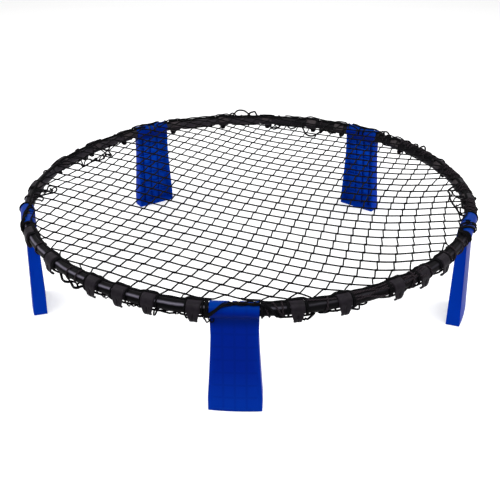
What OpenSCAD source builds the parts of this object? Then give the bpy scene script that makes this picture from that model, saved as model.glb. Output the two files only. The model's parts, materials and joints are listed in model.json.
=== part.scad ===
// Rebound net game set: a ring of five curved tubes on five folding legs,
// with a net drawn over the ring and held down by hooks round its edge.
// The origin is the ring's centre on the floor, +Z is up and leg 1 stands at -Y.

/* [Ring] */
// Outside diameter of the ring
ring_d = 914; // [760:1:1100]
// Height of the tube's centre line above the floor
ring_h = 195; // [160:1:240]
// Outside diameter of the rim tube
tube_d = 21; // [18:0.5:26]
// Wall of the rim tube
tube_wall = 1.8; // [1.4:0.1:2.4]
// Length of the reduced spigot that plugs into the next tube
spigot_len = 32; // [20:1:36]

/* [Legs] */
// Length of the barrel, which is the width of the leg's top
leg_top_w = 81; // [66:1:98]
// Width of the leg at its waist
leg_waist_w = 79; // [62:1:96]
// Width of the leg's foot
leg_foot_w = 92.5; // [78:0.5:110]
// Height of the waist above the floor
leg_waist_z = 150; // [110:1:155]
// Height of the straight foot
foot_straight = 28; // [15:1:60]
// Depth of the foot from its open back to its outer face
foot_depth = 29; // [24:0.5:34]
// Depth of the leg just under the barrel
leg_top_depth = 20; // [16:0.5:23]
// Wall of the leg's moulded shell
leg_wall = 2.4; // [1.8:0.1:3]
// Wall of the barrel round the rim tube
barrel_wall = 2.4; // [2:0.1:3.5]
// Height of the ribs inside the leg
rib_h = 6; // [3:0.5:10]
// Thickness of the ribs
rib_t = 1.8; // [1.2:0.1:2.4]
// Distance between the cross ribs
rib_pitch = 25; // [18:1:40]
// Width of the window in the barrel for the net's loop
window_w = 17; // [13:0.5:22]
// Width of the finger in the window
finger_w = 7; // [5:0.5:9]

/* [Hooks] */
// Length of a hook's band along the tube
hook_w = 24; // [18:0.5:30]
// Thickness of a hook's band
band_t = 2.4; // [1.8:0.1:3]
// Drop of the tongue's tip below the tube's centre line
tongue_drop = 25; // [23:0.5:30]
// Width of the tongue at its tip
tongue_tip_w = 14; // [10:0.5:18]
// Thickness of the tongue
tongue_t = 2.6; // [2:0.1:3.2]

/* [Net] */
// Thickness of a strand of the net
strand_d = 1.8; // [1.2:0.1:2.4]
// Spacing of the modelled strands
net_pitch = 46; // [44:1:80]
// Heading of the first family of strands, in degrees from +X
strand_a = -23; // [-45:1:0]
// Heading of the second family of strands, in degrees from +X
strand_b = 71; // [45:1:90]
// Diameter of the cord along the net's edge
edge_cord_d = 4; // [3:0.1:4.8]

/* [Clearances] */
// Gap between the barrel's bore and the tube where they are nearest
bore_gap = 0.3; // [0.2:0.05:0.6]
// Gap between the spigot and the tube that it plugs into
spigot_gap = 0.2; // [0.1:0.05:0.4]
// Gap between a hook's band and the tube
band_gap = 0.3; // [0.2:0.05:0.5]
// Gap between the net and the tube that it lies on
net_gap = 0.2; // [0.1:0.05:0.5]
// Gap between the edge cord and the tongues that hold it
cord_gap = 0.4; // [0.2:0.05:0.8]
// Gap between the edge cord and the tube over it
cord_lift = 1.2; // [0.5:0.1:2]

/* [Hidden] */
LEGS = 5;
BAY = 360 / LEGS;
FIRST_LEG = -90;
$fn = 64;
ring_fn = 180;                           // facets of what runs round the whole ring
tube_fn = 48;                            // facets round the rim tube
past = 1;                                // overrun of a shape past what it cuts

tube_r = tube_d / 2;
ring_r = ring_d / 2 - tube_r;            // centre line of the rim tube

// The barrel is straight and the tube in it is curved, so the barrel's axis lies
// halfway between the tube's middle and its ends, and the bore takes up the rest.
tube_sag = ring_r - sqrt(pow(ring_r, 2) - pow(leg_top_w / 2, 2));
hinge_r = ring_r - tube_sag / 2;
function rim_angle(run) = run / ring_r * 180 / PI; // angle of a run along the tube's centre line
spigot_a = rim_angle(spigot_len);
butt_gap = 0.5;                          // gap where two tubes butt
butt_a = rim_angle(butt_gap);
shoulder_a = rim_angle(tube_wall);       // wall of the shoulder between tube and spigot
bore_r = tube_r + tube_sag / 2 + bore_gap;
barrel_r = bore_r + barrel_wall;

back_x = -bore_r;                        // open back of the leg, from the hinge axis
foot_x = back_x + foot_depth;
face_top_x = back_x + leg_top_depth;
foot_t = 3;                              // sole of the foot
web_t = 1.5;                             // wall between the barrel's underside and the hollow
web_z = -barrel_r - web_t;
flare_power = 1.3;
flare_steps = 8;
window_reach = 4;                        // window's lower and outer edge past the axis
finger_from = 110;                       // finger's tip, degrees round the barrel

band_r = tube_r + band_gap;
band_outer = band_r + band_t;
band_from = -15;                         // ends of a hook's band, degrees round the tube
band_to = 235;
band_chamfer = 0.5;
pad_t = 1;                               // height of the tongue's root over the band
pad_r = band_outer + pad_t;
pad_from = 60;
curl_r = 12.4;                           // outer radius of the tongue's curl
curl_to = -75;
groove_w = 1.4;
groove_depth = 0.9;
groove_z = -5;
tongue_shoulder_w = hook_w - 2;
taper_from = -2;                         // height at which the tongue starts to taper
taper_to = 0.7;                          // share of the drop by which it has its tip's width
tip_round = 4;                           // radius of the tip's corners

// Hooks stand in the free rim between two barrels, at these shares of it.
hook_room = 8;                           // least gap from a barrel's end to a hook
hook_shares = [
    [0.09, 0.27, 0.505, 0.645, 0.785],
    [0.14, 0.31, 0.545, 0.905],
    [0.01, 0.18, 0.445, 0.70, 0.99],
    [0.02, 0.245, 0.505, 0.82],
    [0.03, 0.295, 0.56, 0.69, 0.815, 0.99]
];
free_from = asin(leg_top_w / 2 / ring_r) + rim_angle(hook_room + hook_w / 2);
function hook_angle(bay, n) =
    FIRST_LEG + bay * BAY + free_from + (BAY - 2 * free_from) * hook_shares[bay][n];

cord_r = edge_cord_d / 2;
// The edge cord lies under the tube's outer side, behind the tongues.
cord_x = pad_r - tongue_t - cord_gap - cord_r;
cord_z = -sqrt(pow(tube_r + cord_lift + cord_r, 2) - pow(cord_x, 2));
cord_low = atan2(cord_z, cord_x + ring_r - hinge_r);
cord_low_r = norm([cord_z, cord_x + ring_r - hinge_r]);
cord_high = 40;                          // cord's place over a barrel, degrees round it
cord_over_r = barrel_r + cord_gap + cord_r;
cord_sides = 6;
cord_rise = 25;                          // length of the cord's climb over a barrel
cord_clear = 2;                          // run past the barrel's end at full radius
cord_settle = hook_room - cord_clear;    // run from there down behind the first tongue
cord_fine = 4.5;                         // ring spacing over a leg, mm
cord_coarse = 4;                         // ring spacing along a bay, degrees

function ease(t) = t <= 0 ? 0 : t >= 1 ? 1 : t * t * (3 - 2 * t);
function polar(r, a) = [r * cos(a), r * sin(a)];
function backwards(list) = [for (i = [len(list) - 1:-1:0]) list[i]];
function both_sides(side) = concat(side, [for (p = backwards(side)) [-p.x, p.y]]);

// Turns a shape whose axis is Z so that its axis lies along the rim, and its angles
// count from the outward direction over the top.
module along_rim() rotate([90, 0, 0]) children();

module at_leg(k) rotate([0, 0, FIRST_LEG + k * BAY]) translate([hinge_r, 0, ring_h]) children();

module at_rim(angle) rotate([0, 0, angle]) translate([ring_r, 0, ring_h]) children();

// ---- Rim tubes: each spans from one leg's middle to the next ----

module rim_arc(radius, from, to) rotate([0, 0, from])
    rotate_extrude(angle = to - from, $fn = ring_fn)
        translate([ring_r, 0]) circle(radius, $fn = tube_fn);

module rim_tube(k) {
    inner_r = tube_r - tube_wall;
    spigot_r = inner_r - spigot_gap;
    end = BAY - butt_a;
    color("#141416") rotate([0, 0, FIRST_LEG + k * BAY]) translate([0, 0, ring_h])
        difference() {
            union() {
                rim_arc(tube_r, 0, end);
                rim_arc(spigot_r, end - shoulder_a, end + spigot_a);
            }
            rim_arc(inner_r, -shoulder_a, end - shoulder_a);
            rim_arc(spigot_r - tube_wall, end - 2 * shoulder_a, end + spigot_a + shoulder_a);
        }
}

// ---- Legs: a barrel on the tube and an open-backed moulded shell ----

function half_width(z) =
    z <= foot_straight ? leg_foot_w / 2 :
    z >= leg_waist_z ?
        leg_waist_w / 2 + (leg_top_w - leg_waist_w) / 2 * (z - leg_waist_z) / (ring_h - leg_waist_z) :
    leg_waist_w / 2 + (leg_foot_w - leg_waist_w) / 2
        * pow((leg_waist_z - z) / (leg_waist_z - foot_straight), flare_power);

outline_z = concat([0], [for (i = [0:flare_steps])
    foot_straight + (leg_waist_z - foot_straight) * i / flare_steps], [ring_h]);

// Front outline of the leg, drawn in by an inset, standing in the Y-Z plane
module leg_outline(inset) {
    side = [for (z = outline_z) [half_width(z) - inset, z - ring_h]];
    rotate([90, 0, 90]) linear_extrude(4 * foot_depth, center = true) polygon(both_sides(side));
}

// Space inside the leg's outer face, which bows with the ring and leans out to the foot
module inside_face(inset)
    translate([-hinge_r, 0, -ring_h])
        cylinder(h = ring_h, r1 = hinge_r + foot_x - inset, r2 = hinge_r + face_top_x - inset,
                 $fn = 180);

module behind(x, z_low, z_high)
    translate([x, -leg_foot_w, z_low]) cube([3 * foot_depth, 2 * leg_foot_w, z_high - z_low]);

module leg_ribs() difference() {
    union() {
        for (y = [-leg_waist_w / 4, 0, leg_waist_w / 4])
            translate([back_x, y - rib_t / 2, -ring_h]) cube([2 * foot_depth, rib_t, ring_h]);
        for (z = [foot_t + rib_pitch:rib_pitch:ring_h + web_z - rib_pitch / 2])
            translate([back_x, -leg_foot_w, z - ring_h]) cube([2 * foot_depth, 2 * leg_foot_w, rib_t]);
    }
    inside_face(leg_wall + rib_h);
}

module leg_hollow() difference() {
    intersection() {
        leg_outline(leg_wall);
        inside_face(leg_wall);
        behind(back_x - past, foot_t - ring_h, web_z);
    }
    leg_ribs();
}

// Opening in the barrel, with a finger left standing in it
module barrel_window() difference() {
    translate([-2 * barrel_r, -window_w / 2, -window_reach])
        cube([2 * barrel_r + window_reach, window_w, 2 * barrel_r]);
    along_rim() rotate([0, 0, finger_from]) translate([0, 0, -finger_w / 2])
        rotate_extrude(angle = 180) square([3 * barrel_r, finger_w]);
}

module leg(k) color("#0a2fa8") at_leg(k) {
    difference() {
        union() {
            along_rim() cylinder(r = barrel_r, h = leg_top_w, center = true);
            intersection() {
                leg_outline(0);
                inside_face(0);
                behind(back_x, -ring_h, 0);
            }
        }
        along_rim() cylinder(r = bore_r, h = leg_top_w + 2 * past, center = true);
        leg_hollow();
        barrel_window();
    }
}

// ---- Hooks: a band snapped on the tube and a tongue that curls under it ----

curl_x = pad_r - curl_r;
curl_z = curl_r - tongue_drop;

// Outer line of the tongue from the pad on the band down to the tip, set in by an offset
function tongue_line(inset) = concat(
    [for (a = [pad_from:-10:0]) polar(pad_r - inset, a)],
    [for (a = [0:-15:curl_to]) [curl_x, curl_z] + polar(curl_r - inset, a)]
);

module tongue_section() {
    inner = concat(
        [for (a = [pad_from:-10:0]) polar(band_r + band_t / 2, a)],
        [[pad_r - tongue_t, -tongue_t]],
        [for (a = [0:-15:curl_to]) [curl_x, curl_z] + polar(curl_r - tongue_t, a)]
    );
    polygon(concat(tongue_line(0), backwards(inner)));
}

module tongue_outline() {
    shoulder = tongue_shoulder_w / 2;
    tip = tongue_tip_w / 2;
    side = concat(
        [[shoulder, 2 * pad_r], [shoulder, taper_from], [tip, -tongue_drop * taper_to]],
        [for (a = [0:-15:-90]) [tip - tip_round, tip_round - tongue_drop] + polar(tip_round, a)]
    );
    rotate([90, 0, 90]) linear_extrude(2 * pad_r) polygon(both_sides(side));
}

module net_hook(bay, n) {
    half = hook_w / 2;
    color("#2b2829") at_rim(hook_angle(bay, n)) difference() {
        union() {
            along_rim() rotate([0, 0, band_from]) rotate_extrude(angle = band_to - band_from)
                polygon([
                    [band_r, -half], [band_outer - band_chamfer, -half],
                    [band_outer, -half + band_chamfer], [band_outer, half - band_chamfer],
                    [band_outer - band_chamfer, half], [band_r, half]
                ]);
            intersection() {
                along_rim() linear_extrude(hook_w, center = true) tongue_section();
                tongue_outline();
            }
        }
        // groove that parts the tongue's lower half
        intersection() {
            along_rim() linear_extrude(groove_w, center = true)
                polygon(concat(tongue_line(-past), backwards(tongue_line(groove_depth))));
            translate([0, -hook_w, -2 * tongue_drop])
                cube([2 * pad_r, 2 * hook_w, 2 * tongue_drop + groove_z]);
        }
    }
}

// ---- Net: two families of strands that cross, and end on top of the tube ----

net_z = ring_h + tube_r + net_gap;
strand_count = ceil(ring_r / net_pitch) + 1;
strand_steps = [-strand_count:strand_count];
notch_gap = 0.5;                         // room round what stands up through the net

// Each family bends a little, as a net pulled unevenly does: a strand's sideways drift is
// its bend times the square of its run, in mm.
bend_a = 0.00038;
bend_b = -0.00014;
net_shift = [-0.3, 0.1];                 // shift of the crossings, in pitches
function run(n, heading, bend) =
    let (u = n * net_pitch)
        u * polar(1, heading) + bend * u * u * polar(1, heading + 90);
function crossing(i, j) =
    run(i + net_shift.x, strand_a, bend_a) + run(j + net_shift.y, strand_b, bend_b);

strands = concat(
    [for (j = strand_steps) [for (i = strand_steps) crossing(i, j)]],
    [for (i = strand_steps) [for (j = strand_steps) crossing(i, j)]]
);

// Share of the way from a to b at which the line crosses the ring's centre line
function rim_share(a, b) =
    let (
        d = b - a,
        half = a * d / (d * d),
        root = sqrt(half * half - (a * a - ring_r * ring_r) / (d * d))
    ) root > half && root - half <= 1 ? root - half : -root - half;

strand_ends = [for (line = strands) for (i = [0:len(line) - 2])
    let (a = line[i], b = line[i + 1])
        if ((norm(a) - ring_r) * (norm(b) - ring_r) < 0)
            let (end = a + rim_share(a, b) * (b - a)) atan2(end.y, end.x)];

hook_angles = [for (bay = [0:LEGS - 1]) for (n = [0:len(hook_shares[bay]) - 1])
    hook_angle(bay, n)];
leg_angles = [for (k = [0:LEGS - 1]) FIRST_LEG + k * BAY];

function apart(a, b) = abs((a - b) - 360 * round((a - b) / 360));
function clear_of(angle, centres, width) =
    min([for (c = centres) apart(angle, c)]) > rim_angle((width + strand_d) / 2 + notch_gap);

module strand(points) {
    last = len(points) - 1;
    // offsets across the strand, from the neighbours on each side
    side = [for (i = [0:last])
        let (d = points[min(i + 1, last)] - points[max(i - 1, 0)])
            [-d.y, d.x] / norm(d) * strand_d / 2];
    polygon(concat([for (i = [0:last]) points[i] + side[i]],
                   [for (i = [last:-1:0]) points[i] - side[i]]));
}

module net() color("#101012") difference() {
    translate([0, 0, net_z]) intersection() {
        linear_extrude(strand_d) union() {
            for (line = strands) strand(line);
        }
        cylinder(r = ring_r, h = strand_d, $fn = ring_fn);
    }
    // the barrels and the hooks' bands stand up through the net's edge
    for (k = [0:LEGS - 1]) at_leg(k) along_rim()
        cylinder(r = barrel_r + notch_gap, h = leg_top_w + 2 * notch_gap, center = true);
    for (angle = hook_angles) at_rim(angle) along_rim()
        cylinder(r = band_outer + notch_gap, h = hook_w + 2 * notch_gap, center = true);
}

// Each strand's end runs on over the tube, down to the edge cord.
tie_from = 88;                           // start of a tie, degrees round the tube
tie_short = 1.5;                         // gap from a tie's end to the cord, degrees
tie_to = atan2(cord_z, cord_x) + asin(cord_r / norm([cord_x, cord_z])) + tie_short;

// of two ends that lie side by side, the first has the tie
tie_angles = [for (e = [0:len(strand_ends) - 1])
    let (angle = strand_ends[e], others = [for (o = [0:1:e - 1]) strand_ends[o]])
        if (clear_of(angle, hook_angles, hook_w) && clear_of(angle, leg_angles, leg_top_w)
            && (e == 0 || clear_of(angle, others, strand_d)))
            angle];

module net_ties() color("#101012")
    for (angle = tie_angles)
        at_rim(angle) along_rim() rotate([0, 0, tie_to])
            rotate_extrude(angle = tie_from - tie_to)
                translate([tube_r + net_gap, -strand_d / 2]) square(strand_d);

// ---- Edge cord: one closed loop, behind the tongues and over the barrels ----

leg_reach = leg_top_w / 2 + cord_clear + cord_settle;
leg_reach_a = rim_angle(leg_reach);
fine_n = ceil(2 * leg_reach / cord_fine);
coarse_n = ceil((BAY - 2 * leg_reach_a) / cord_coarse);

// Angles of the cord's rings: closely spaced over a leg, wider along a bay
cord_angles = [for (k = [0:LEGS - 1]) each concat(
    [for (i = [0:fine_n - 1]) FIRST_LEG + k * BAY - leg_reach_a + 2 * leg_reach_a * i / fine_n],
    [for (i = [0:coarse_n - 1])
        FIRST_LEG + k * BAY + leg_reach_a + (BAY - 2 * leg_reach_a) * i / coarse_n]
)];

function cord_point(angle) =
    let (
        turn = angle - FIRST_LEG,
        off_leg = turn - BAY * round(turn / BAY),
        u = abs(off_leg) / 180 * PI * ring_r,
        rise = 1 - ease((u - leg_top_w / 2 + cord_rise) / cord_rise),
        out = 1 - ease((u - leg_top_w / 2 - cord_clear) / cord_settle),
        around = cord_low + (cord_high - cord_low) * rise,
        away = cord_low_r + (cord_over_r - cord_low_r) * out,
        // the barrel is straight, so over a leg the cord follows its tangent
        straight = hinge_r / cos(off_leg) - hinge_r,
        r = hinge_r + away * cos(around) + straight * out,
        z = ring_h + away * sin(around)
    ) [r * cos(angle), r * sin(angle), z];

module closed_tube(points, radius, sides) {
    count = len(points);
    rings = [for (i = [0:count - 1])
        let (
            ahead = points[(i + 1) % count] - points[(i + count - 1) % count],
            t = ahead / norm(ahead),
            flat = cross(t, [0, 0, 1]),
            n = flat / norm(flat),
            b = cross(n, t)
        ) [for (s = [0:sides - 1])
            points[i] + radius * (cos(360 * s / sides) * n + sin(360 * s / sides) * b)]];
    polyhedron(
        points = [for (ring = rings) each ring],
        faces = [for (i = [0:count - 1]) for (s = [0:sides - 1])
            let (
                a = i * sides + s,
                b = i * sides + (s + 1) % sides,
                c = ((i + 1) % count) * sides + (s + 1) % sides,
                d = ((i + 1) % count) * sides + s
            ) each [[a, b, c], [a, c, d]]]
    );
}

module edge_cord() color("#0c0c0e")
    closed_tube([for (a = cord_angles) cord_point(a)], cord_r, cord_sides);

for (k = [0:LEGS - 1])
    rim_tube(k);
for (k = [0:LEGS - 1])
    leg(k);
for (bay = [0:LEGS - 1]) for (n = [0:len(hook_shares[bay]) - 1])
    net_hook(bay, n);
net();
net_ties();
edge_cord();
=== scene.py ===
import json
import random
from math import atan2, cos, degrees, hypot, log, pi, radians, sin, sqrt

import bmesh
import bpy
import numpy
from mathutils import Matrix, Vector


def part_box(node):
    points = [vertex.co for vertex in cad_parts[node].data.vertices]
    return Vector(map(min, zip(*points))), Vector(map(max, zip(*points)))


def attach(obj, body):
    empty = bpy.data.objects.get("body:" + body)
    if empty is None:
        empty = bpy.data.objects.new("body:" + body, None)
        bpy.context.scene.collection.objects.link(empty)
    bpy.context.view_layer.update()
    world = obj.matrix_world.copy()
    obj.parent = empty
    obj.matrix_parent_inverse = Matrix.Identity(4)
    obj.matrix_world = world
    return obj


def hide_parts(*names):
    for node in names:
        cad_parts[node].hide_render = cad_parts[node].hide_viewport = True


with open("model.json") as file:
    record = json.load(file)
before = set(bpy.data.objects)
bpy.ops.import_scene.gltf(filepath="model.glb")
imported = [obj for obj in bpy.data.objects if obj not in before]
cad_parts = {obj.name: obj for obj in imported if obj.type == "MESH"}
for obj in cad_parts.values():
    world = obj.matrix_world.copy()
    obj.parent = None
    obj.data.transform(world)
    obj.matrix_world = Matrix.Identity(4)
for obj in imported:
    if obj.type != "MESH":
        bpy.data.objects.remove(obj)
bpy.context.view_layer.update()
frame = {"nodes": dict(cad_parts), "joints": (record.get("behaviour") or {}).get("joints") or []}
scene = bpy.context.scene
mm = 0.001
tiny = 1e-6                    # lengths that differ by less are the same

# Places that the whole set is built on, read from the frame
hinge = Vector(frame["joints"][0]["pos_m"])
hingeRadius = hypot(hinge.x, hinge.y)
ringHeight = hinge.z
tubeLow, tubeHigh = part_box("rim_tube_1")
tubeRadius = (tubeHigh.z - tubeLow.z) / 2
ringRadius = -tubeLow.y - tubeRadius
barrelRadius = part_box("leg_1")[1].z - ringHeight
netLow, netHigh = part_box("net")
netHeight = (netLow.z + netHigh.z) / 2
legCount = len(frame["joints"])
bayAngle = 360 / legCount
firstLeg = degrees(atan2(hinge.y, hinge.x))
legAngles = [firstLeg + bayAngle * k for k in range(legCount)]


def ease(share):
    share = min(max(share, 0), 1)
    return share * share * (3 - 2 * share)


def mix(low, high, share):
    return low + (high - low) * share


def turnBetween(angle, other):
    # shortest turn from one angle to another, in degrees
    return (angle - other + 180) % 360 - 180


def hookAngle(node):
    low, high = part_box(node)
    middle = (low + high) / 2
    return degrees(atan2(middle.y, middle.x))


def runOf(turn):
    # run along the tube's centre line of a turn in degrees
    return radians(turn) * ringRadius


def turnOf(run):
    return degrees(run / ringRadius)


# The camera's place in metres and its turns in degrees
cameraSizes = {
    "spot": (0.0815, -1.5557, 0.9131),
    "heading": 2.91,
    "tilt": 61.30,
    "roll": -0.11,
    "sensor": 36,
    "lens": 59.34,
    "clipStart": 0.05,
    "frame": 500,              # width and height of its frame, in pixels
}


def cameraTurn():
    heading, tilt, roll = (Matrix.Rotation(radians(cameraSizes[key]), 4, axis)
                           for key, axis in (("heading", "Z"), ("tilt", "X"), ("roll", "Z")))
    return heading @ tilt @ roll


def makeCamera():
    size = cameraSizes
    lens = bpy.data.cameras.new("camera")
    lens.sensor_width = size["sensor"]
    lens.lens = size["lens"]
    lens.clip_start = size["clipStart"]
    camera = bpy.data.objects.new("camera", lens)
    camera.matrix_world = Matrix.Translation(size["spot"]) @ cameraTurn()
    scene.collection.objects.link(camera)
    scene.camera = camera


def placeSeen(across, down, height):
    # the place at a height that the camera sees at a pixel of its frame
    size = cameraSizes
    pixel = size["sensor"] / size["lens"] / size["frame"]
    middle = size["frame"] / 2
    way = cameraTurn() @ Vector(((across - middle) * pixel, (middle - down) * pixel, -1))
    spot = Vector(size["spot"])
    return spot + way * ((height - spot.z) / way.z)


def smoothRoute(points, step, closed=False):
    # a Catmull-Rom curve through the points, with rings about a step apart
    count = len(points)
    route = []
    for i in range(count if closed else count - 1):
        if closed:
            before, start, end, after = (points[(i + n) % count] for n in (-1, 0, 1, 2))
        else:
            start, end = points[i], points[i + 1]
            before = points[i - 1] if i else start * 2 - end
            after = points[i + 2] if i + 2 < count else end * 2 - start
        pieces = max(1, round((end - start).length / step))
        for n in range(pieces):
            t = n / pieces
            route.append(0.5 * (2 * start + (end - before) * t
                                + (2 * before - 5 * start + 4 * end - after) * t * t
                                + (3 * start - before - 3 * end + after) * t * t * t))
    if not closed:
        route.append(points[-1])
    return route


def meshFrom(name, bm, sharpAngle=None):
    mesh = bpy.data.meshes.new(name)
    for face in bm.faces:
        face.smooth = True
    bm.to_mesh(mesh)
    bm.free()
    if sharpAngle:
        mesh.set_sharp_from_angle(angle=radians(sharpAngle))
    return mesh


def joinMeshes(name, parts, sharpAngle=None):
    bm = bmesh.new()
    for part in parts:
        bm.from_mesh(part)
    return meshFrom(name, bm, sharpAngle)


def gridOf(columns, rows, half=1):
    bm = bmesh.new()
    bmesh.ops.create_grid(bm, x_segments=columns, y_segments=rows, size=half)
    return bm


def roundEdges(bm, edges, offset, segments):
    bmesh.ops.bevel(bm, geom=edges, offset=offset, segments=segments, profile=0.5,
                    affect="EDGES", material=-1)


def sharpEdges(bm, least=60):
    return [e for e in bm.edges if e.is_manifold and e.calc_face_angle(0) > radians(least)]


def thicken(bm, wall, offset, segments):
    # gives an open surface that curls round the origin its wall, inwards, and rounds its edges
    bmesh.ops.recalc_face_normals(bm, faces=bm.faces)
    face = bm.faces[:][0]
    if face.normal.dot(face.calc_center_median()) < 0:
        bmesh.ops.reverse_faces(bm, faces=bm.faces)
    bmesh.ops.solidify(bm, geom=bm.faces[:], thickness=wall)
    roundEdges(bm, sharpEdges(bm), offset, segments)


def place(name, mesh, material, body, slot, *nodes):
    # puts a finished mesh into the scene as a piece that stands for these CAD nodes
    piece = bpy.data.objects.new(name, mesh)
    scene.collection.objects.link(piece)
    mesh.materials.clear()
    mesh.materials.append(material)
    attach(piece, body)
    if nodes:
        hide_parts(*nodes)


def twine(name, routes, diameter, closed=False):
    # one round strand along each route, with U in metres along it and V round it
    parts = []
    for route in routes:
        line = bpy.data.curves.new(name, "CURVE")
        line.dimensions = "3D"
        line.bevel_depth = diameter / 2
        line.bevel_resolution = 1
        line.use_fill_caps = not closed
        spline = line.splines.new("POLY")
        spline.points.add(len(route) - 1)
        for point, spot in zip(spline.points, route):
            point.co = (*spot, 1)
        spline.use_cyclic_u = closed
        holder = bpy.data.objects.new(name, line)
        mesh = bpy.data.meshes.new_from_object(holder)
        length = sum((b - a).length for a, b in zip(route, route[1:]))
        for corner in mesh.uv_layers[0].data:
            corner.uv.x *= length
        parts.append(mesh)
        bpy.data.objects.remove(holder)
    return joinMeshes(name, parts)


def hexColour(text):
    # sRGB hex to the linear colour that a shader takes
    parts = [int(text[i:i + 2], 16) / 255 for i in (1, 3, 5)]
    return (*(c / 12.92 if c <= 0.04045 else ((c + 0.055) / 1.055) ** 2.4 for c in parts), 1)


def newMaterial(name):
    material = bpy.data.materials.new(name)
    material.use_nodes = True
    return material, material.node_tree, material.node_tree.nodes["Principled BSDF"]


def feed(tree, node, inputs):
    # fills a node's inputs, by name or in their order, each with a number, a hex colour, a
    # socket, or a node that stands for its first output in use
    for key, value in inputs.items() if isinstance(inputs, dict) else enumerate(inputs):
        if isinstance(value, bpy.types.Node):
            value = next(socket for socket in value.outputs if socket.enabled)
        if isinstance(value, bpy.types.NodeSocket):
            tree.links.new(value, node.inputs[key])
        else:
            node.inputs[key].default_value = hexColour(value) if isinstance(value, str) else value


def addNode(tree, kind, inputs=(), stops=(), **settings):
    # adds a node with its settings and links, and its stops if it is a colour ramp
    node = tree.nodes.new("ShaderNode" + kind)
    for key, value in settings.items():
        setattr(node, key, value)
    feed(tree, node, inputs)
    if stops:
        elements = node.color_ramp.elements
        for _ in stops[len(elements):]:
            elements.new(0.5)
        for element, (position, colour) in zip(elements, stops):
            element.position = position
            element.color = hexColour(colour)
    return node


# The tones stand at degrees round the tube, from its underside over the outward side and top. They hold a
# painted reflection of the floor, greyer, underneath, a painted highlight band on the outer top and a paler
# painted highlight on the inner top
tubeCoatSizes = {
    "grain": 1.1 * mm,
    "grainHeight": 0.1 * mm,
    "blotch": 28 * mm,
    "blotchRange": (0.3, 0.7),
    "drift": 0.01,             # how far the blotches shift the tones, in turns
    "tones": (
        (-150, "#2c282d"), (-95, "#332d34"), (-50, "#1c191d"), (-20, "#050406"), (26, "#030304"),
        (33, "#3c3942"), (43, "#625f6a"), (53, "#3c3942"), (61, "#040405"), (92, "#0c0b0d"),
        (112, "#4a484d"), (130, "#2e2c30"), (165, "#2c292e"),
    ),
    "highlightBand": (26, 61),
    "roughness": (0.24, 0.45),  # along the middle of the painted highlight's strip, and outside it
    "shadedSide": (-20 * mm, 110 * mm),    # from where to where along X it is painted darker, as painted shade
    "shadedSideShare": 0.85,
    "shadedSideTone": "#0a090b",
}


def aroundTube(tree, split):
    # the angle round the tube, from its outward side over its top, in radians
    flat = addNode(tree, "CombineXYZ", (split.outputs["X"], split.outputs["Y"]))
    radius = addNode(tree, "VectorMath", (flat,), operation="LENGTH")
    out = addNode(tree, "Math", (radius, ringRadius), operation="SUBTRACT")
    up = addNode(tree, "Math", (split.outputs["Z"], ringHeight), operation="SUBTRACT")
    return addNode(tree, "Math", (up, out), operation="ARCTAN2")


def satinTube():
    # Extruded black polypropylene tube: satin, with a fine grain and smoother along its outer top;
    # its colour holds a painted highlight there and on its inner top, and a painted floor reflection
    # underneath
    size = tubeCoatSizes
    material, tree, shader = newMaterial("satin_black_polypropylene")
    spot = addNode(tree, "TexCoord").outputs["Object"]
    split = addNode(tree, "SeparateXYZ", (spot,))
    around = aroundTube(tree, split)
    noise = addNode(tree, "TexNoise", {"Vector": spot, "Scale": 1 / size["blotch"], "Detail": 4})
    drift = addNode(tree, "MapRange", (noise, *size["blotchRange"], -size["drift"], size["drift"]))
    share = addNode(tree, "MapRange", (around, -pi, pi))
    share = addNode(tree, "Math", (share, drift), operation="ADD")
    # the tones paint a highlight band on the outer top, a paler highlight on the inner top and a greyer
    # reflection of the floor underneath
    stops = [((turn + 180) / 360, tone) for turn, tone in size["tones"]]
    tones = addNode(tree, "ValToRGB", (share,), stops)
    # painted shade: along one side of the ring, where strands are wound over the tube, it is painted darker
    # and its painted highlight dimmed
    shadedSide = addNode(tree, "MapRange", (split.outputs["X"], *size["shadedSide"], 0, size["shadedSideShare"]))
    coat = addNode(tree, "Mix", {"Factor": shadedSide, "A": tones, "B": size["shadedSideTone"]}, data_type="RGBA")
    start, stop = map(radians, size["highlightBand"])
    off = addNode(tree, "Math", (around, (start + stop) / 2), operation="SUBTRACT")
    off = addNode(tree, "Math", (off,), operation="ABSOLUTE")
    rough = addNode(tree, "MapRange", (off, 0, (stop - start) / 2, *size["roughness"]),
                    interpolation_type="SMOOTHSTEP")
    grain = addNode(tree, "TexNoise", {"Vector": spot, "Scale": 1 / size["grain"], "Detail": 1})
    bump = addNode(tree, "Bump", {"Height": grain, "Strength": 0.12, "Distance": size["grainHeight"]})
    feed(tree, shader, {"IOR": 1.49, "Specular IOR Level": 0.03, "Roughness": rough,
                        "Base Color": coat, "Normal": bump})
    return material


hookCoatSizes = {
    "grain": 0.7 * mm,
    "grainHeight": 0.12 * mm,
    "wear": 6 * mm,
    "tones": ((0.3, "#100d11"), (0.7, "#1b171d")),
    "highlightBand": (88, 118),       # from where to where its inner top is painted paler, a painted highlight, degrees round the tube
    "highlightTone": "#353032",
}


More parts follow.
